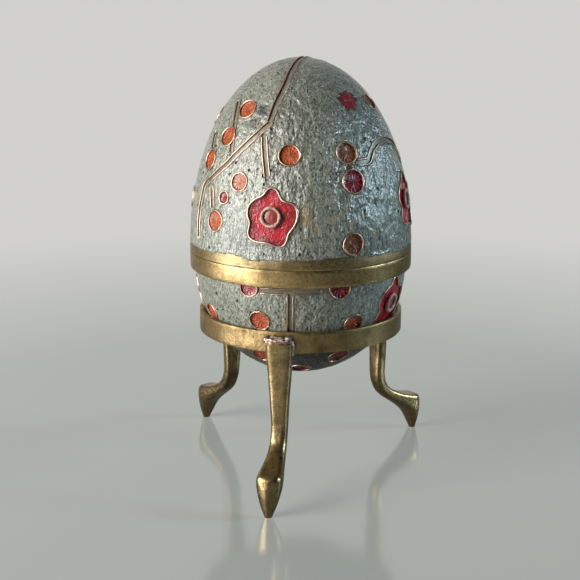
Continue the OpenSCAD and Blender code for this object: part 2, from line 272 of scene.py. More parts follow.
def listSpots(flowers, blossoms):
    spots = []
    for colour in sorted(flowers):
        for i, spot in enumerate(flowers[colour]):
            edge = discRadius(spot[2], i + len(spots))
            if colour in petalled:
                edge = petalRadius(spot[2], *petalled[colour])
            outlined = colour not in ("star", "tail")
            spots.append({"colour": colour, "spot": spot, "edge": edge, "outlined": outlined})
    for spot in blossoms:
        spots.append({"colour": "blossom", "spot": spot, "edge": blossomRadius, "outlined": True})
    return spots


lid["spots"] = listSpots(lidFlowers, lidBlossoms)
base["spots"] = listSpots(baseFlowers, baseBlossoms)
for half in (lid, base):
    for item in half["spots"]:
        item["place"] = spotFrame(half, item["spot"])
stains = [(surfaceAt(lid, a, heightAt(lid, p)), *rest) for a, p, *rest in lidStains]


def branchLine(half, corners):
    # a branch's middle line on the egg, its corners slightly rounded
    points = []
    ends = [surfaceAt(half, a, heightAt(half, p)) for a, p in corners]
    for a, b in zip(ends, ends[1:]):
        out = outward(half, onto(half, (a + b) / 2, outward(half, (a + b) / 2)))
        count = max(2, round((b - a).length / pattern["branchStep"]))
        points += [onto(half, a.lerp(b, i / count), out) for i in range(count)]
    points.append(ends[-1])
    for turn in range(6):
        softer = [(a + b * 2 + c) / 4 for a, b, c in zip(points, points[1:], points[2:])]
        points = [points[0]] + softer + [points[-1]]
    return [onto(half, p, outward(half, p)) for p in points]


lid["branches"] = [branchLine(lid, corners) for corners in lidBranches]
base["branches"] = [branchLine(base, corners) for corners in baseBranches]


def treeOf(points):
    tree = kdtree.KDTree(len(points))
    for i, point in enumerate(points):
        tree.insert(point, i)
    tree.balance()
    return tree


for half in (lid, base):
    half["branchTrees"] = [treeOf(line) for line in half["branches"]]
    half["spotTree"] = treeOf([item["place"][0] for item in half["spots"]])


def flowerDistance(half, point):
    # how far outside the nearest flower's edge a point lies; negative inside
    best = 9.0
    for where, index, away in half["spotTree"].find_range(point, 9.0):
        item = half["spots"][index]
        middle, right, up, out = item["place"]
        step = point - middle
        x, y = step.dot(right), step.dot(up)
        best = min(best, math.hypot(x, y) - item["edge"](math.atan2(y, x)))
    return best


def stainAt(point, kind):
    # strength of the stains of one kind at a point
    share = 0.0
    for middle, wide, tall, what in stains:
        step = point - middle
        if what == kind and abs(step.z) < tall * 1.6 and step.length < wide + tall + 1:
            away = math.hypot(awayOf(step) / wide, step.z / tall) + 0.5 * noise.noise(point * 1.3)
            share = max(share, clipped((1.25 - away) / 0.6))
    return share


def branchDistance(half, point, skip=None):
    return min([tree.find(point)[2] for i, tree in enumerate(half["branchTrees"]) if i != skip] or [9.0])


# ---- tools for making pieces


def editing(on):
    bpy.ops.object.mode_set(mode="EDIT" if on else "OBJECT")


def clearSelection():
    if bpy.context.object and bpy.context.object.mode != "OBJECT":
        editing(False)
    bpy.ops.object.select_all(action="DESELECT")


def link(piece):
    bpy.context.scene.collection.objects.link(piece)


def choose(*pieces):
    clearSelection()
    for piece in pieces:
        piece.select_set(True)
    bpy.context.view_layer.objects.active = pieces[0]


def joined(name, pieces):
    choose(*pieces)
    bpy.ops.object.join()
    whole = bpy.context.object
    whole.name = name
    return whole


def finishWith(piece, material):
    piece.data.materials.clear()
    piece.data.materials.append(material)


def dress(piece, body, material, node, angle=None):
    choose(piece)
    if angle is None:
        bpy.ops.object.shade_smooth()
    else:
        bpy.ops.object.shade_smooth_by_angle(angle=math.radians(angle))
    finishWith(piece, material)
    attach(piece, body)
    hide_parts(node)


def closeMesh():
    # ends the editing of a mesh, its faces turned outward
    bpy.ops.mesh.select_all(action="SELECT")
    bpy.ops.mesh.normals_make_consistent(inside=False)
    editing(False)


def turned(name, profile, steps):
    # a closed profile of (radius, height) spun about the egg's axis
    clearSelection()
    bpy.ops.mesh.primitive_circle_add(vertices=len(profile), radius=mm, fill_type="NOTHING")
    piece = bpy.context.object
    piece.name = name
    for vertex, (r, z) in zip(piece.data.vertices, profile):
        vertex.co = (0, -r * mm, z * mm)
    editing(True)
    bpy.ops.mesh.select_all(action="SELECT")
    bpy.ops.mesh.spin(steps=steps, angle=2 * math.pi, center=(0, 0, 0), axis=(0, 0, 1))
    bpy.ops.mesh.select_all(action="SELECT")
    bpy.ops.mesh.remove_doubles(threshold=0.002 * mm)
    bpy.ops.mesh.delete_loose()
    closeMesh()
    return piece


def lofted(name, rings):
    # rings of points joined one to the next, closed at both ends
    sides = len(rings[0])
    clearSelection()
    bpy.ops.mesh.primitive_circle_add(vertices=sides, radius=1, fill_type="NOTHING")
    piece = bpy.context.object
    piece.name = name
    editing(True)
    bpy.ops.mesh.select_mode(type="EDGE")
    bpy.ops.mesh.select_all(action="SELECT")
    bpy.ops.mesh.edge_face_add()
    for step in range(len(rings) - 1):
        bpy.ops.mesh.extrude_region_move(TRANSFORM_OT_translate={"value": (0, 0, 1)})
    editing(False)
    for vertex in piece.data.vertices:
        x, y, z = vertex.co
        side = round(math.degrees(math.atan2(y, x)) * sides / 360) % sides
        vertex.co = rings[min(len(rings) - 1, max(0, round(z)))][side] * mm
    editing(True)
    closeMesh()
    return piece


def wire(name, paths, radius, wobble):
    # round wires along paths of points; a path that ends where it starts is closed
    curve = bpy.data.curves.new(name, "CURVE")
    curve.dimensions = "3D"
    curve.bevel_depth = radius * mm
    curve.bevel_resolution = 2
    curve.use_fill_caps = True
    for path, closed in paths:
        spline = curve.splines.new("POLY")
        spline.points.add(len(path) - 1)
        for point, where in zip(spline.points, path):
            point.co = (*(where * mm), 1)
            point.radius = 1 + wobble * noise.noise(where * 0.9)
        spline.use_cyclic_u = closed
    piece = bpy.data.objects.new(name, curve)
    link(piece)
    choose(piece)
    bpy.ops.object.convert(target="MESH")
    return bpy.context.object


print("tools ready")


# ---- finishes

# the node tree that the helpers below add to
current = {"tree": None}


def feed(node, inputs):
    for key, value in inputs.items():
        if isinstance(value, bpy.types.NodeSocket):
            current["tree"].links.new(value, node.inputs[key])
        else:
            node.inputs[key].default_value = value
    return node


def put(kind, inputs=None, **settings):
    made = current["tree"].nodes.new("ShaderNode" + kind)
    for key, value in settings.items():
        setattr(made, key, value)
    return feed(made, inputs or {})


def blendOf(share, a, b, mode="MIX"):
    return put("Mix", {0: share, 6: a, 7: b}, data_type="RGBA", blend_type=mode).outputs[2]


def sums(operation, a, b, clamp=False):
    return put("Math", {0: a, 1: b}, operation=operation, use_clamp=clamp).outputs[0]


def times(a, b, clamp=False):
    return sums("MULTIPLY", a, b, clamp)


def plus(a, b, clamp=False):
    return sums("ADD", a, b, clamp)


def larger(a, b):
    return sums("MAXIMUM", a, b)


def minus(a, b):
    return sums("SUBTRACT", a, b)


def remap(value, low, high, toLow=0.0, toHigh=1.0):
    span = {"Value": value, "From Min": low, "From Max": high, "To Min": toLow, "To Max": toHigh}
    return put("MapRange", span).outputs["Result"]


def cloudOf(where, scale, detail, roughness=0.5):
    made = put("TexNoise", {"Vector": where, "Scale": scale, "Detail": detail, "Roughness": roughness})
    return made.outputs["Fac"]


def shaded(tone, share):
    # a colour made darker or lighter
    return blendOf(1.0, tone, put("CombineColor", {0: share, 1: share, 2: share}).outputs[0], "MULTIPLY")


def lengthOf(vector):
    return put("VectorMath", {0: vector}, operation="LENGTH").outputs["Value"]


def startGroup(name, numbers, colours=()):
    # a node group that is given coordinates, numbers and colours
    current["tree"] = tree = bpy.data.node_groups.new(name, "ShaderNodeTree")
    for kind, labels in (("Vector", ["Coords"]), ("Float", numbers), ("Color", colours)):
        for label in labels:
            tree.interface.new_socket(label, in_out="INPUT", socket_type="NodeSocket" + kind)
    return tree.nodes.new("NodeGroupInput").outputs


def endGroup(results):
    tree = current["tree"]
    for label in results:
        kind = "NodeSocketColor" if label == "Color" else "NodeSocketFloat"
        tree.interface.new_socket(label, in_out="OUTPUT", socket_type=kind)
    feed(tree.nodes.new("NodeGroupOutput"), results)
    return tree


def makePatina():
    # cast or rolled brass: stained patches, fine grain and small pits
    given = startGroup("patina", ["Patches", "Grain", "Pits", "Stain"], ["Clean", "Stained"])
    where = given["Coords"]
    patches = cloudOf(where, given["Patches"], 5.0, 0.62)
    grain = cloudOf(where, given["Grain"], 4.0, 0.7)
    holes = put("TexVoronoi", {"Vector": where, "Scale": times(given["Grain"], 0.55)}).outputs["Distance"]
    pit = times(remap(holes, 0.12, 0.3, 1.0, 0.0), remap(patches, 0.42, 0.6))
    pit = times(pit, given["Pits"], clamp=True)
    mixed = plus(times(patches, 0.72), times(grain, 0.28))
    low = minus(0.72, times(given["Stain"], 0.42))
    stain = larger(remap(mixed, low, plus(low, 0.16)), pit)
    tone = blendOf(stain, given["Clean"], given["Stained"])
    tone = shaded(tone, remap(grain, 0.32, 0.68, 0.6, 1.25))
    rough = plus(remap(grain, 0.3, 0.7, 0.3, 0.42), times(stain, 0.16))
    height = minus(plus(grain, times(patches, 0.5)), times(pit, 0.9))
    metal = remap(stain, 0.0, 1.0, 1.0, 0.82)
    return endGroup({"Color": tone, "Roughness": rough, "Metallic": metal, "Height": height})


def makeFlecks():
    # opaque enamel full of fine dark and pale flecks, with vertical streaks and pinholes
    given = startGroup("flecks", ["Fleck", "Cloud", "Contrast"], ["Body", "Dark", "Pale"])
    where, size = given["Coords"], given["Fleck"]
    stretched = put("Mapping", {"Vector": where, "Scale": (1.0, 1.0, 0.5)}).outputs["Vector"]
    fleck = cloudOf(stretched, size, 3.0, 0.75)
    streak = cloudOf(stretched, times(size, 0.3), 4.0, 0.6)
    cloud = cloudOf(where, given["Cloud"], 4.0, 0.55)
    lump = cloudOf(stretched, times(size, 0.16), 2.0)
    cell = put("TexVoronoi", {"Vector": where, "Scale": times(size, 0.22)}).outputs
    rare = remap(put("SeparateColor", {0: cell["Color"]}).outputs[0], 0.84, 0.86)
    hole = times(remap(cell["Distance"], 0.08, 0.26, 1.0, 0.0), rare)
    dark = times(remap(fleck, 0.5, 0.36), given["Contrast"])
    dark = plus(dark, times(remap(streak, 0.46, 0.34), 0.45), clamp=True)
    pale = times(remap(fleck, 0.56, 0.7), given["Contrast"], clamp=True)
    tone = blendOf(dark, given["Body"], given["Dark"])
    tone = blendOf(times(pale, 0.75), tone, given["Pale"])
    tone = shaded(tone, remap(cloud, 0.3, 0.7, 0.8, 1.2))
    tone = blendOf(hole, tone, (0.012, 0.012, 0.01, 1))
    rough = plus(remap(streak, 0.3, 0.7, 0.1, 0.2), times(dark, 0.1))
    height = plus(plus(streak, times(fleck, 0.16)), times(lump, 1.6))
    height = minus(height, times(hole, 1.4))
    return endGroup({"Color": tone, "Roughness": rough, "Height": height})


def makeVeins():
    # petals of a small flower and a ring of painted shade along its edge, from its own flat coordinates with
    # the middle at 0.5, 0.5
    given = startGroup("veins", ["Petals"])
    flat = put("VectorMath", {0: given["Coords"], 1: (0.5, 0.5, 0)}, operation="SUBTRACT").outputs[0]
    away = times(lengthOf(flat), 2.0)
    angle = put("TexGradient", {"Vector": flat}, gradient_type="RADIAL").outputs["Fac"]
    blur = cloudOf(given["Coords"], 6.0, 2.0)
    phase = plus(times(angle, given["Petals"]), plus(0.2, times(blur, 1.1)))
    vein = times(remap(sums("PINGPONG", phase, 0.5), 0.02, 0.19, 1.0, 0.0), remap(away, 0.12, 0.4))
    vein = times(vein, remap(blur, 0.3, 0.46, 0.25, 1.0), clamp=True)
    return endGroup({"Vein": vein, "Rim": remap(away, 0.72, 0.98)})


patina, flecks, veins = makePatina(), makeFlecks(), makeVeins()


def useGroup(group, coords, look):
    # each input after the coordinates takes the look's value of the same name
    made = put("Group", {"Coords": coords}, node_tree=group)
    for socket in made.inputs[1:]:
        value = look[socket.name.lower()]
        socket.default_value = (*value, 1) if socket.type == "RGBA" else value
    return made.outputs


def startMaterial(name):
    material = bpy.data.materials.new(name)
    material.use_nodes = True
    current["tree"] = material.node_tree
    return material, material.node_tree.nodes["Principled BSDF"], put("TexCoord").outputs["Object"]


def bumpOf(height, distance):
    return put("Bump", {"Height": height, "Distance": distance * mm, "Strength": 1.0}).outputs["Normal"]


def painted(kind):
    return put("Attribute", attribute_name=kind).outputs["Fac"]


def brassFinish(name, look):
    material, shader, where = startMaterial(name)
    metal = useGroup(patina, where, look)
    rough, normal = plus(metal["Roughness"], look["rougher"]), bumpOf(metal["Height"], look["relief"])
    feed(shader, {"Base Color": metal["Color"], "Metallic": metal["Metallic"]})
    feed(shader, {"Roughness": rough, "Normal": normal})
    return material


def groundFinish(name, look):
    material, shader, where = startMaterial(name)
    glass = useGroup(flecks, where, look)
    grime = cloudOf(where, 700.0, 3.0)
    share = times(painted("dirt"), remap(grime, 0.36, 0.62), clamp=True)
    tone = blendOf(times(share, 0.8), glass["Color"], (*look["grime"], 1))
    # gilt stains, then soot stains together with the painted shade of the lid's top and the base's bottom
    for kind, strength in (("gilt", 0.6), ("soot", 1.0)):
        spots = times(painted(kind), remap(grime, 0.3, 0.5, 0.4, strength))
        tone = blendOf(spots, tone, (*look[kind], 1))
    rough, normal = plus(glass["Roughness"], look["rougher"]), bumpOf(glass["Height"], look["relief"])
    feed(shader, {"Base Color": tone, "Roughness": rough, "IOR": look["ior"], "Normal": normal})
    return material


def flowerFinish(name, look):
    material, shader, where = startMaterial(name)
    lines = useGroup(veins, put("UVMap", uv_map="petals").outputs["UV"], look)
    cloud = cloudOf(where, look["cloud"], 4.0, 0.65)
    deep = (*look["deep"], 1)
    tone = blendOf(remap(cloud, 0.36, 0.66), (*look["body"], 1), deep)
    # a ring of painted shade along the flower's edge, where the wall shades the enamel, in the deep tone
    tone = blendOf(times(lines["Rim"], look["rim"]), tone, deep)
    tone = blendOf(times(lines["Vein"], look["vein"]), tone, (*look["veinTone"], 1))
    rough = remap(cloud, 0.3, 0.7, look["gloss"], look["gloss"] + 0.16)
    height = plus(cloudOf(where, 1500.0, 3.0), times(lines["Vein"], 1.4 * look["vein"]))
    feed(shader, {"Base Color": tone, "Roughness": rough, "Coat Weight": 0.2, "Coat Roughness": 0.1})
    feed(shader, {"Normal": bumpOf(height, look["relief"])})
    return material


brassLooks = {
    "ring": dict(
        patches=170, grain=1500, pits=0.75, stain=0.6, rougher=0.04, relief=0.07,
        clean=(0.33, 0.232, 0.104), stained=(0.095, 0.063, 0.028),
    ),
    "band": dict(
        patches=150, grain=1700, pits=0.6, stain=0.52, rougher=0, relief=0.05,
        clean=(0.41, 0.292, 0.13), stained=(0.115, 0.074, 0.031),
    ),
    "rim": dict(
        patches=150, grain=1700, pits=0.6, stain=0.56, rougher=0.04, relief=0.05,
        clean=(0.35, 0.257, 0.126), stained=(0.115, 0.08, 0.039),
    ),
    "leg": dict(
        patches=190, grain=1300, pits=0.55, stain=0.54, rougher=-0.04, relief=0.08,
        clean=(0.34, 0.245, 0.12), stained=(0.09, 0.062, 0.03),
    ),
    "wire": dict(
        patches=260, grain=2200, pits=0.3, stain=0.5, rougher=0.02, relief=0.03,
        clean=(0.56, 0.42, 0.33), stained=(0.27, 0.175, 0.13),
    ),
    "inside": dict(
        patches=90, grain=900, pits=0.9, stain=0.6, rougher=0.16, relief=0.09,
        clean=(0.34, 0.26, 0.13), stained=(0.12, 0.085, 0.04),
    ),
    "solder": dict(
        patches=420, grain=1900, pits=0.5, stain=0.55, rougher=0, relief=0.12,
        clean=(0.34, 0.26, 0.22), stained=(0.11, 0.07, 0.06),
    ),
}
brass = {name: brassFinish(name + "Brass", look) for name, look in brassLooks.items()}

groundLook = dict(
    fleck=2700, cloud=95, contrast=1.2, rougher=0, relief=0.5, ior=1.7,
    body=(0.268, 0.28, 0.224), dark=(0.045, 0.052, 0.045), pale=(0.52, 0.54, 0.48),
    grime=(0.12, 0.09, 0.055), gilt=(0.34, 0.24, 0.1), soot=(0.05, 0.047, 0.04),
)
baseLook = dict(groundLook, rougher=0.1, ior=1.5, relief=0.4)
troughLook = dict(
    fleck=1900, cloud=150, contrast=0.6, rougher=0.2, relief=0.1, ior=1.5,
    body=(0.21, 0.18, 0.13), dark=(0.085, 0.068, 0.048), pale=(0.37, 0.33, 0.25),
    grime=(0.06, 0.045, 0.028), gilt=(0.34, 0.24, 0.1), soot=(0.07, 0.065, 0.06),
)
eyeRingLook = dict(
    troughLook, fleck=3000, cloud=400, contrast=0.8, rougher=0.22, relief=0.25,
    body=(0.5, 0.3, 0.24), dark=(0.27, 0.12, 0.1), pale=(0.7, 0.52, 0.43), grime=(0.1, 0.05, 0.04),
)
ground, trough = groundFinish("groundEnamel", groundLook), groundFinish("troughEnamel", troughLook)
baseGroundFinish = groundFinish("baseGroundEnamel", baseLook)
eyeRingFinish = groundFinish("eyeRingEnamel", eyeRingLook)

# rim sets the strength of the painted shade along each flower's edge
flowerLooks = {
    "blossom": dict(
        petals=15, cloud=420, gloss=0.12, rim=0.9, vein=0, relief=0.22,
        body=(0.52, 0.014, 0.03), deep=(0.17, 0.005, 0.01), veinTone=(0.7, 0.2, 0.2),
    ),
    "eye": dict(
        petals=9, cloud=600, gloss=0.24, rim=0.3, vein=0, relief=0.1,
        body=(0.34, 0.06, 0.045), deep=(0.16, 0.02, 0.016), veinTone=(0.5, 0.2, 0.15),
    ),
    "red": dict(
        petals=12, cloud=420, gloss=0.14, rim=0.5, vein=0.5, relief=0.14,
        body=(0.36, 0.01, 0.028), deep=(0.14, 0.004, 0.012), veinTone=(0.6, 0.24, 0.2),
    ),
    "star": dict(
        petals=9, cloud=600, gloss=0.24, rim=0.3, vein=0.25, relief=0.12,
        body=(0.34, 0.014, 0.024), deep=(0.14, 0.006, 0.01), veinTone=(0.4, 0.08, 0.06),
    ),
    "orange": dict(
        petals=12, cloud=480, gloss=0.2, rim=0.65, vein=0.6, relief=0.14,
        body=(0.46, 0.085, 0.018), deep=(0.22, 0.03, 0.01), veinTone=(0.58, 0.28, 0.09),
    ),
    "daisy": dict(
        petals=13, cloud=480, gloss=0.2, rim=0.25, vein=0.85, relief=0.16,
        body=(0.5, 0.07, 0.02), deep=(0.26, 0.03, 0.01), veinTone=(0.66, 0.42, 0.24),
    ),
    "brown": dict(
        petals=13, cloud=480, gloss=0.24, rim=0.45, vein=0.5, relief=0.14,
        body=(0.3, 0.085, 0.03), deep=(0.13, 0.036, 0.015), veinTone=(0.42, 0.2, 0.09),
    ),
}
flowerFinishes = {name: flowerFinish(name + "Enamel", look) for name, look in flowerLooks.items()}
flowerFinishes["tail"] = flowerFinishes["brown"]
print("finishes ready")


# ---- enamel ground of both halves

enamel = {"spacing": 0.36, "around": 480, "swell": 0.07, "streak": 0.06, "lidStart": 58.6, "rimRise": 0.04}

# Lower edge of the upper half's enamel above the seam, by azimuth: it wanders over the brass rim.
rimLine = [
    (-180, 2.4), (-120, 2.2), (-75, 2.2), (-55, 2.1), (-45, 2.45), (-36, 2.85),
    (-30, 2.4), (-26, 1.85), (-15, 2.1), (0, 2.45), (15, 2.8), (22, 2.9),
    (30, 2.6), (38, 2.2), (60, 1.9), (90, 2.3), (130, 2.1), (180, 2.4),
]


def rimHeight(azimuth):
    for (a, low), (b, high) in zip(rimLine, rimLine[1:]):
        if a <= azimuth <= b:
            return low + (high - low) * (azimuth - a) / (b - a) + 0.1 * waver(azimuth * 0.35, 7.0, 0)
    return 2.3


def arcPoints(half, start, spacing, inset=0.0):
    # points down a half's profile from a height to its pole, evenly spaced along the curve
    pole = egg["seam"] + (egg["lidHeight"] - inset if half is lid else inset - egg["baseDepth"])
    fine = []
    for i in range(2001):
        share = math.sin(math.pi / 2 * i / 2000)
        z = start + (pole - start) * share
        fine.append((half["radius"](z, inset) if i < 2000 else 0.0, z))
    total = sum(math.dist(a, b) for a, b in zip(fine, fine[1:]))
    count = round(total / spacing)
    picked, gone, target = [fine[0]], 0.0, total / count
    for a, b in zip(fine, fine[1:]):
        gone += math.dist(a, b)
        if gone >= target * len(picked) - 1e-6 and len(picked) < count:
            picked.append(b)
    return picked + [fine[-1]]


def enamelGround(half, start, material):
    outer = arcPoints(half, start, enamel["spacing"])
    inner = arcPoints(half, start, 3.0, egg["enamelDepth"])
    piece = turned(half["side"] + "Ground", outer + inner[::-1], enamel["around"])
    mesh = piece.data
    layers = {kind: [0.0] * len(mesh.vertices) for kind in ("dirt", "soot", "gilt")}
    dirt, soot, gilt = layers.values()
    for vertex in mesh.vertices:
        point, i = vertex.co / mm, vertex.index
        away = awayOf(point)
        if away < half["radius"](point.z) - 0.3 or away < 0.05:
            continue
        out = outward(half, point)
        flower, branch = flowerDistance(half, point), branchDistance(half, point)
        near = min(flower - 0.2, branch - pattern["troughHalf"] - 0.2)
        rise = enamel["swell"] * waver(point.x * 0.42, point.y * 0.42, point.z * 0.26)
        rise += enamel["streak"] * waver(point.x * 1.15, point.y * 1.15, point.z * 0.5)
        rise -= 0.03
        if near < 0:
            rise = -pattern["well"]
        elif near < 1.4:
            rise += 0.07 * (1 - near / 1.4)
            dirt[i] = (1 - near / 1.4) ** 1.5
        if half is lid:
            over = point.z - egg["seam"] - rimHeight(azimuthOf(point))
            if over < 0:
                rise = -0.4
            elif over < 0.7:
                rise = max(rise, enamel["rimRise"] * min(1.0, over / 0.35)) if near > 0 else rise
                dirt[i] = max(dirt[i], 0.8 * (1 - over / 0.7))
            # on the lid, real soot stains, and painted shade that darkens the enamel towards the top
            soot[i] = max(0.2 * clipped((point.z - 84) / 12), stainAt(point, "soot"))
            gilt[i] = stainAt(point, "gilt")
        else:
            # on the base, painted shade that darkens the enamel towards the bottom
            soot[i] = 0.9 * clipped((39 - point.z) / 5)
        vertex.co = (point + out * rise) * mm
    for kind, shares in layers.items():
        mesh.attributes.new(kind, "FLOAT", "POINT").data.foreach_set("value", shares)
    dress(piece, half["body"], material, half["side"] + "_ground_enamel")
    print(piece.name, "done:", len(mesh.polygons), "faces")


enamelGround(lid, enamel["lidStart"], ground)
enamelGround(base, base["edge"], baseGroundFinish)


# ---- enamel of the flowers

fill = {"sides": 40, "insets": 6, "meniscus": 0.12, "ripple": 0.05, "unevenness": 0.03, "under": 0.6}


def makePuck():
    # flat disc with rings of faces on top, the start of every flower's enamel
    clearSelection()
    bpy.ops.mesh.primitive_cylinder_add(vertices=fill["sides"], radius=1, depth=1, end_fill_type="NGON")
    puck = bpy.context.object
    puck.name = "puck"
    editing(True)
    bpy.ops.mesh.select_mode(type="FACE")
    bpy.ops.mesh.select_all(action="DESELECT")
    editing(False)
    for face in puck.data.polygons:
        face.select = face.normal.z > 0.9
    editing(True)
    for step in range(fill["insets"]):
        bpy.ops.mesh.inset(thickness=0.15)
    bpy.ops.mesh.poke()
    editing(False)
    return puck


puck = makePuck()


def flowerFill(name, half, item, reach, petals, dish):
    # a copy of the puck laid into one flower, rippled by its petals
    piece = puck.copy()
    piece.data = puck.data.copy()
    piece.name = name
    link(piece)
    flat = []
    for vertex in piece.data.vertices:
        x, y, z = vertex.co
        away, angle = min(1.0, math.hypot(x, y)), math.atan2(y, x)
        size = reach(angle)
        flat.append((0.5 + x * 0.5, 0.5 + y * 0.5))
        if z > 0:
            rise = -pattern["sink"] - dish * (1 - away**3) + fill["meniscus"] * away**6
            rise += fill["ripple"] * math.cos(petals * angle) * math.sin(math.pi * min(1.0, away * 1.1))
            rise += fill["unevenness"] * waver(x * 3, y * 3, item["spot"][0])
        else:
            rise = -fill["under"]
        across, along = math.cos(angle) * size * away, math.sin(angle) * size * away
        vertex.co = wrapped(half, item["place"], across, along, rise) * mm
    layer = piece.data.uv_layers[0]
    layer.name = "petals"
    for loop in piece.data.loops:
        layer.data[loop.index].uv = flat[loop.vertex_index]
    return piece


def fillFlowers(half, name, colour):
    # the enamel of every flower of one colour; "eye" is the middle of each blossom
    parts = []
    dish = {"blossom": 0.2, "star": -0.22, "tail": -0.26, "eye": -0.26}.get(colour, 0.12)
    petals = {"blossom": 5, "eye": 0}.get(colour, 12)
    for i, item in enumerate(half["spots"]):
        if item["colour"] == ("blossom" if colour == "eye" else colour):
            edge, more = item["edge"], 0.1 if item["outlined"] else 0.24
            if colour == "eye":
                edge = lambda angle: pattern["eye"]
            parts.append(flowerFill(f"{name}{i}", half, item, lambda angle: edge(angle) + more, petals, dish))
    return joined(name, parts)


# half, slot, then each piece with what it fills
flowerPieces = [
    (lid, "red_enamel", [("lidBlossomEnamel", "blossom"), ("lidRedFlowers", "red"), ("lidStars", "star")]),
    (lid, "brown_enamel", [("lidTail", "tail")]),
    (lid, "orange_enamel", [("lidOrangeFlowers", "orange")]),
    (lid, "brown_enamel", [("lidBrownFlowers", "brown"), ("lidEyes", "eye")]),
    (base, "red_enamel", [("baseBlossomEnamel", "blossom"), ("baseRedFlowers", "red")]),
    (base, "orange_enamel", [("baseDaisies", "daisy"), ("baseEyes", "eye")]),
]
for half, slotName, pieces in flowerPieces:
    for name, colour in pieces:
        piece = fillFlowers(half, name, colour)
        dress(piece, half["body"], flowerFinishes[colour], half["side"] + "_" + slotName, 60)
bpy.data.objects.remove(puck)
print("flower enamel done")


# ---- raised brass outlines


def flowerPath(half, item, size, gap=0.4):
    reach = max(size(0), 0.5)
    count = max(24, round(2 * math.pi * reach / gap))
    path = []
    for i in range(count):
        angle = 2 * math.pi * i / count
        c, s = math.cos(angle), math.sin(angle)
        rise = pattern["wireRise"] + 0.04 * waver(c * 2, s * 2, item["spot"][0])
        path.append(wrapped(half, item["place"], c * size(angle), s * size(angle), rise))
    return path


def branchPaths(half, index):
    # the two ridges of a branch, broken where a flower or another branch lies
    line = half["branches"][index]
    paths = []
    for side in (-1, 1):
        run = []
        for i, point in enumerate(line):
            along = (line[min(i + 1, len(line) - 1)] - line[max(i - 1, 0)]).normalized()
            out = outward(half, point)
            wave = 0.09 * waver(point.x * 0.5, point.z * 0.5, index + side * 0.37)
            spot = onto(half, point + out.cross(along) * side * (pattern["troughHalf"] + 0.2 + wave), out)
            open = flowerDistance(half, spot) > 0.3
            open = open and branchDistance(half, spot, index) > pattern["troughHalf"] + 0.05
            if open:
                rise = pattern["wireRise"] + 0.05 * noise.noise(spot * 0.7)
                run.append(spot + outward(half, spot) * rise)
            if (not open or i == len(line) - 1) and run:
                if len(run) > 3:
                    paths.append((run[::2] if len(run) > 8 else run, False))
                run = []
    return paths


def outlineWires(name, half):
    thin, thick = [], []
    for item in half["spots"]:
        edge = item["edge"]
        if item["outlined"]:
            path = (flowerPath(half, item, lambda angle: edge(angle) + 0.2), True)
            (thick if item["colour"] == "blossom" else thin).append(path)
    for index in range(len(half["branches"])):
        thin += branchPaths(half, index)
    thinWires = wire(name + "Thin", thin, pattern["wire"], 0.35)
    return joined(name, [thinWires, wire(name + "Thick", thick, pattern["ridge"], 0.3)])


def eyeRings(name, half):
    middle = pattern["eye"] + pattern["eyeRim"] / 2
    blossoms = [item for item in half["spots"] if item["colour"] == "blossom"]
    rims = [(flowerPath(half, item, lambda angle: middle, 0.25), True) for item in blossoms]
    return wire(name, rims, pattern["eyeRim"] / 2, 0.3)


for half in (lid, base):
    side = half["side"]
    lines, rings = outlineWires(side + "Outlines", half), eyeRings(side + "EyeRings", half)
    for piece, finish in ((lines, brass["wire"]), (rings, eyeRingFinish)):
        dress(piece, half["body"], finish, side + "_outlines")
    finishWith(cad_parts[side + "_branch_enamel"], trough)
    print(side, "outlines done:", len(lines.data.polygons), "faces")


# ---- brass of the egg

shellShape = {"boreRadius": 25.55, "boreHeight": 4.6, "rimTop": 60.9, "around": 300, "edge": 0.14}


def lidShellProfile():
    seam, s = egg["seam"], shellShape
    bore, edge, step = s["boreRadius"], s["edge"], seam + s["boreHeight"]
    outer = [(bore + edge, seam), (27.86, seam), (27.96, seam + 0.04), (28.0, seam + edge)]
    drops = [(57.5, 0.02), (58.0, 0.03), (58.6, 0.07), (59.2, 0.12), (59.8, 0.16)]
    outer += [(lidRadius(z) - drop, z) for z, drop in drops]
    outer += [(lidRadius(z) - 0.2, z) for z in (60.4, s["rimTop"])]
    inset = arcPoints(lid, s["rimTop"] + 0.15, 2.0, egg["enamelDepth"])
    inner = arcPoints(lid, step, 2.0, egg["wall"])[::-1]
    return outer + inset + inner + [(bore, step), (bore, seam + edge)]


def ripple(piece, amount, size, keep):
    # slight unevenness of worked metal, moved away from the egg's axis and up
    for vertex in piece.data.vertices:
        point = vertex.co / mm
        if not keep(point):
            continue
        away = awayOf(point)
        push = amount * noise.noise(point * size)
        vertex.co.x += point.x / away * push * mm
        vertex.co.y += point.y / away * push * mm
        vertex.co.z += 0.5 * amount * noise.noise(point * size + Vector((9, 4, 2))) * mm


lidShell = turned("lidShell", lidShellProfile(), shellShape["around"])
nick = {"azimuth": -31.0, "half": 1.5, "deep": 0.3}
for vertex in lidShell.data.vertices:
    point = vertex.co / mm
    if awayOf(point) > 27 and point.z < egg["seam"] + 0.3:
        off = abs(azimuthOf(point) - nick["azimuth"]) / nick["half"]
        if off < 1:
            vertex.co.z += nick["deep"] * (1 - off) * mm
ripple(lidShell, 0.03, 0.3, lambda p: awayOf(p) > 26.5 and 57.05 < p.z < 61)
dress(lidShell, "egg_lid", brass["rim"], "lid_shell", 35)

bandShape = {"radius": 28.0, "inner": 26.2, "low": 52.8, "high": 57.0, "edge": 0.16, "around": 300}


def outerWall(shape, count):
    # the outside of a band with rounded lower and upper edges
    r, low, high, e = (shape[key] for key in ("radius", "low", "high", "edge"))
    wall = [(r - e, low), (r - 0.3 * e, low + 0.3 * e), (r, low + e)]
    wall += [(r, low + e + (high - low - 2 * e) * i / count) for i in range(1, count)]
    return wall + [(r, high - e), (r - 0.3 * e, high - 0.3 * e)]


def bandProfile():
    b = bandShape
    top = b["high"] - 0.03
    return outerWall(b, 6) + [(b["radius"] - b["edge"], top), (b["inner"], top), (b["inner"] - 0.1, b["low"])]


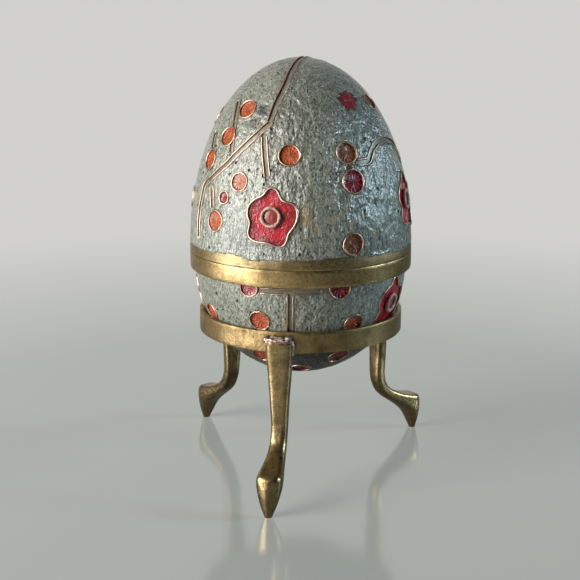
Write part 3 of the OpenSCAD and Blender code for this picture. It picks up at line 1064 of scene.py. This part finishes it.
baseBand = turned("baseBand", bandProfile(), bandShape["around"])
ripple(baseBand, 0.035, 0.28, lambda p: awayOf(p) > 27 and p.z < 56.8)
dress(baseBand, "egg_base", brass["band"], "base_band", 35)
finishWith(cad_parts["base_shell"], brass["inside"])
finishWith(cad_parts["neck_collar"], brass["rim"])
print("brass of the egg done")


# ---- stand

ringShape = {"bore": 24.732, "radius": 25.832, "low": 36.3, "high": 41.5, "edge": 0.17, "around": 300}


def ringProfile():
    s = ringShape
    bore, e, low, high = s["bore"], s["edge"], s["low"], s["high"]
    outer = outerWall(s, 7) + [(s["radius"] - e, high), (bore + e, high), (bore + 0.3 * e, high - 0.3 * e)]
    return outer + [(bore, high - e), (bore, low + e), (bore + 0.3 * e, low + 0.3 * e), (bore + e, low)]


standRing = turned("standRing", ringProfile(), ringShape["around"])
ripple(standRing, 0.05, 0.22, lambda p: awayOf(p) > 25.3)
dress(standRing, "stand", brass["ring"], "stand_ring", 35)

legShape = {
    "top": 39.1,
    "reach": 14.9,
    "width": 6.6,
    "thick": 2.8,
    "ankle": 4.1,
    "foot": 6.2,
    "sole": 1.8,
    "sides": 36,
    "fill": 5,
    "narrow": 0.14,
    "dish": 0.75,
    "keel": 0.35,
}
legs = [
    {"side": "front", "azimuth": -11.0, "turn": 0.0, "splay": 0.0},
    {"side": "right", "azimuth": 127.0, "turn": 0.0, "splay": 0.0},
    {"side": "left", "azimuth": -135.5, "turn": -10.0, "splay": 2.2},
]


def legStations():
    # inner edge and outer edge as distance from the ring and share of the height, then width and squareness
    g = legShape
    t, w, a, f, r = g["thick"], g["width"], g["ankle"], g["foot"], g["reach"]
    return [
        (-0.45, 1, t, 1, w, 0.5),
        (-0.45, 0.93, t - 0.3, 0.93, w - 0.1, 0.5),
        (-1.1, 0.785, t - 0.8, 0.803, w - 0.8, 0.5),
        (-1, 0.63, t - 0.6, 0.67, w - 1.7, 0.5),
        (-1.1, 0.517, t - 0.6, 0.562, a + 0.3, 0.52),
        (-0.8, 0.42, t - 0.7, 0.47, a, 0.56),
        (r * 0.04, 0.338, r * 0.195, 0.391, a, 0.6),
        (r * 0.174, 0.286, r * 0.31, 0.343, a + 0.3, 0.62),
        (r * 0.342, 0.24, r * 0.47, 0.31, a + 0.8, 0.62),
        (r * 0.503, 0.197, r * 0.672, 0.289, f - 0.6, 0.62),
        (r * 0.611, 0.164, r * 0.862, 0.276, f - 0.1, 0.64),
        (r * 0.678, 0.138, r * 0.952, 0.261, f, 0.7),
        (r * 0.732, 0.107, r * 0.99, 0.22, f - 0.4, 0.8),
        (r * 0.792, 0.064, r, 0.156, f - 1.4, 0.86),
        (r * 0.839, 0.023, r * 0.99, 0.087, f - 2.8, 0.9),
        (r * 0.862, 0, r * 0.96, 0, g["sole"], 0.9),
    ]


def between(stations, i, t):
    # Catmull-Rom between two stations
    at = lambda k: stations[max(0, min(len(stations) - 1, k))]
    return [
        0.5 * (2 * q + (r - p) * t + (2 * p - 5 * q + 4 * r - s) * t * t + (3 * q - p - 3 * r + s) * t**3)
        for p, q, r, s in zip(at(i - 1), at(i), at(i + 1), at(i + 2))
    ]


def bent(value, power):
    return math.copysign(abs(value) ** power, value)


def legSpot(leg, across, out, height):
    # a point given across a leg, outward from the ring's outer face, and in height
    turn, home = math.radians(leg["turn"]), math.radians(leg["azimuth"])
    x = across * math.cos(turn) + out * math.sin(turn)
    y = across * math.sin(turn) - out * math.cos(turn) - ringShape["radius"]
    return Vector((x * math.cos(home) - y * math.sin(home), x * math.sin(home) + y * math.cos(home), height))


def legRing(along, station, leg):
    # one ring of a leg; "along" counts stations from the top
    g = legShape
    inner, innerShare, outer, outerShare, width, square = station
    ring = []
    for k in range(g["sides"]):
        angle = 2 * math.pi * k / g["sides"]
        c, w = bent(math.cos(angle), square) / 2, bent(math.sin(angle), square) / 2
        across = w * width
        if c > 0:
            across *= 1 - g["narrow"] * 2 * c * clipped((8 - along) / 3)
        dish = g["dish"] * max(0.0, 1 - abs(along - 9.7) / 1.9) * (1 - (2 * w) ** 2)
        keel = clipped((along - 11.2) / 1.2) * clipped((15.0 - along) / 1.5) * (1 - abs(2 * w)) ** 1.4
        keel *= g["keel"]
        share = (innerShare + outerShare) / 2 + (outerShare - innerShare) * c
        out = (inner + outer) / 2 + (outer - inner) * c + leg["splay"] * (1 - share)
        if c > 0:
            out += (keel - dish * 0.25) * 2 * c
            share -= dish / g["top"] * 2 * c
        pit = 0.05 * waver(across * 0.8, out * 0.8, share * g["top"] * 0.8 + leg["azimuth"])
        ring.append(legSpot(leg, across, out + pit, g["top"] * share))
    return ring


def makeLeg(leg):
    stations, rings = legStations(), []
    for i in range(len(stations) - 1):
        for k in range(legShape["fill"]):
            t = k / legShape["fill"]
            rings.append(legRing(i + t, between(stations, i, t), leg))
    rings.append(legRing(len(stations) - 1, stations[-1], leg))
    piece = lofted(leg["side"] + "Leg", rings)
    dress(piece, "stand", brass["leg"], leg["side"] + "_leg", 40)


for leg in legs:
    makeLeg(leg)
print("legs done")

solderShape = {"half": 3.5, "out": 0.75, "tall": 1.25, "deep": 1.15, "low": 39.35}


def makeSolder(leg, runs):
    # a lumpy bead along a leg's top, with the runs that flowed from it
    s = solderShape
    clearSelection()
    bpy.ops.mesh.primitive_ico_sphere_add(subdivisions=5, radius=1)
    bead = bpy.context.object
    parts = [(bead, (0.0, s["out"], s["low"]), (s["half"], s["deep"], s["tall"]))]
    for middle, size in runs:
        bpy.ops.mesh.primitive_ico_sphere_add(subdivisions=4, radius=1)
        parts.append((bpy.context.object, middle, size))
    for part, (across, out, height), size in parts:
        for vertex in part.data.vertices:
            p = vertex.co.copy()
            square = Vector((bent(p.x, 0.8), bent(p.y, 0.9), bent(p.z, 0.85)))
            lump = 1 + 0.16 * noise.noise(p * 2.2 + Vector((height, across, 0))) + 0.1 * noise.noise(p * 5)
            x = across + square.x * size[0] * (1 + (lump - 1) * 0.4)
            o = out + square.y * size[1] * lump
            z = height + square.z * size[2] * lump + 0.3 * waver(x * 0.9, 3.1, across)
            vertex.co = legSpot(leg, x, o, z) * mm
    piece = joined(leg["side"] + "Solder", [part for part, middle, size in parts])
    dress(piece, "stand", brass["solder"], leg["side"] + "_solder")


# for each leg, the middle of every run as across, out and height, then its size
solderRuns = [
    [
        ((3.25, 0.9, 37.6), (0.55, 0.7, 1.9)), ((-3.3, 0.5, 39.6), (0.6, 0.7, 0.8)),
        ((2.2, 0.7, 40.2), (0.9, 0.8, 0.7)),
    ],
    [((-3.1, 0.5, 38.6), (0.6, 0.6, 1.1))],
    [((3.0, 0.5, 38.8), (0.6, 0.6, 0.9))],
]
for leg, runs in zip(legs, solderRuns):
    makeSolder(leg, runs)
print("solder done")


# ---- floor, light and camera

studio = {
    "floorRadius": 0.5,
    "floorTone": (0.2, 0.21, 0.2),
    "floorGlow": (0.165, 0.175, 0.162),
    # tone of the painted reflection band on the floor in front, seen only in mirror rays
    "paintedReflectionGlow": (0.34, 0.34, 0.31),
    "wallTone": (0.64, 0.635, 0.61),
    "boardTone": (0.03, 0.028, 0.025),
    "fill": 0.22,
    "camera": (0.0, -0.3221, 0.1265),
    "lookDown": 14.11,
    "lookLeft": 0.48,
    "sensor": 36,
    "focal": 1295 / 580 * 36,
}
clearSelection()
bpy.ops.mesh.primitive_circle_add(vertices=96, radius=studio["floorRadius"], fill_type="NGON")
floor = bpy.context.object
floor.name = "floor"
editing(True)
bpy.ops.mesh.inset(thickness=0.1)
editing(False)


def seenRays(rays):
    # camera, mirror and see-through rays, which see the room's full tone
    mirrored = larger(rays["Is Glossy Ray"], rays["Is Transmission Ray"])
    return larger(rays["Is Camera Ray"], mirrored)


def mixOf(share, first, second):
    return put("MixShader", {0: share, 1: first, 2: second}).outputs[0]


def makeFloorFinish():
    # in mirror rays the floor has painted shade under the egg and to the right, and a painted pale reflection
    # band in front
    material, shader, where = startMaterial("paleFloor")
    away, axes = lengthOf(where), put("SeparateXYZ", {"Vector": where}).outputs
    rays, below = put("LightPath").outputs, put("NewGeometry").outputs["Backfacing"]
    clear = larger(times(remap(away, 0.12, 0.3), rays["Is Camera Ray"]), below)
    # painted shade in mirror rays: a darkening to the right and a painted shadow under the egg
    paintedDarkRight, paintedShadowUnderEgg = remap(axes["X"], 0.03, 0.16, 0.0, 0.85), remap(away, 0.03, 0.075, 0.65, 0.0)
    paintedShadeInMirror = times(larger(paintedDarkRight, paintedShadowUnderEgg), rays["Is Glossy Ray"])
    # a band of painted reflection light in front, seen only in mirror rays
    paintedReflectionBand = times(remap(axes["Y"], -0.06, -0.1), remap(axes["Y"], -0.24, -0.17))
    glow = blendOf(seenRays(rays), (0, 0, 0, 1), (*studio["floorGlow"], 1))
    glow = blendOf(times(paintedReflectionBand, rays["Is Glossy Ray"]), glow, (*studio["paintedReflectionGlow"], 1))
    feed(shader, {"Base Color": (*studio["floorTone"], 1), "Roughness": 0.12, "IOR": 1.75})
    feed(shader, {"Emission Strength": 1.0, "Emission Color": glow})
    lit = mixOf(paintedShadeInMirror, shader.outputs[0], put("Emission", {"Strength": 0.0}).outputs[0])
    surface = mixOf(clear, lit, put("BsdfTransparent").outputs[0])
    feed(current["tree"].nodes["Material Output"], {"Surface": surface})
    return material


floor.data.materials.append(makeFloorFinish())


def makeWorld():
    world = bpy.data.worlds.new("studio")
    bpy.context.scene.world = world
    world.use_nodes = True
    current["tree"] = world.node_tree
    seen = seenRays(put("LightPath").outputs)
    strength = remap(seen, 0.0, 1.0, studio["fill"], 1.0)
    feed(world.node_tree.nodes["Background"], {"Color": (*studio["wallTone"], 1), "Strength": strength})


makeWorld()


def windowLight(name, place, target, size, energy, tone):
    lamp = bpy.data.lights.new(name, "AREA")
    lamp.shape = "RECTANGLE"
    lamp.size, lamp.size_y = size
    lamp.energy = energy
    lamp.color = tone
    holder = bpy.data.objects.new(name, lamp)
    link(holder)
    holder.location = place
    holder.rotation_euler = (Vector(target) - Vector(place)).to_track_quat("-Z", "Y").to_euler()


windowLight("leftWindow", (-0.6, -0.3, 0.33), (0, 0, 0.07), (0.36, 0.36), 6.5, (1.0, 0.97, 0.92))
windowLight("lowLeft", (-0.4, -0.17, 0.05), (0, 0, 0.045), (0.26, 0.08), 1.0, (0.96, 0.97, 1.0))
windowLight("rightWindow", (0.6, 0.0, 0.22), (0, 0, 0.08), (0.14, 0.14), 2.7, (0.64, 0.86, 1.0))


def darkBoard(name, place, size):
    # a dark board out of the picture that keeps pale reflections off the brass
    clearSelection()
    bpy.ops.mesh.primitive_plane_add(size=1)
    board = bpy.context.object
    board.name = name
    facing = (Vector((0, 0, 0.06)) - Vector(place)).to_track_quat("Z", "Y")
    for vertex in board.data.vertices:
        x, y, z = vertex.co
        vertex.co = facing @ Vector((x * size[0], y * size[1], 0)) + Vector(place)
    board.data.materials.append(boardFinish)
    board.visible_camera = False


boardFinish, boardShader, where = startMaterial("darkBoard")
feed(boardShader, {"Base Color": (*studio["boardTone"], 1), "Specular IOR Level": 0.0})
darkBoard("frontBoard", (0.22, -0.62, 0.3), (1.0, 0.9))
darkBoard("rightBoard", (0.78, -0.05, 0.3), (1.1, 0.9))
darkBoard("rightBackBoard", (0.56, 0.46, 0.24), (0.5, 0.7))
darkBoard("leftBackBoard", (-0.6, 0.28, 0.2), (0.5, 0.6))
darkBoard("topBoard", (0.15, -0.15, 0.8), (1.2, 1.0))

lens = bpy.data.cameras.new("camera")
lens.sensor_width = studio["sensor"]
lens.lens = studio["focal"]
camera = bpy.data.objects.new("camera", lens)
link(camera)
camera.location = studio["camera"]
camera.rotation_euler = (math.radians(90 - studio["lookDown"]), 0, math.radians(studio["lookLeft"]))
bpy.context.scene.camera = camera
bpy.context.scene.view_settings.view_transform = "Standard"
print("studio ready")
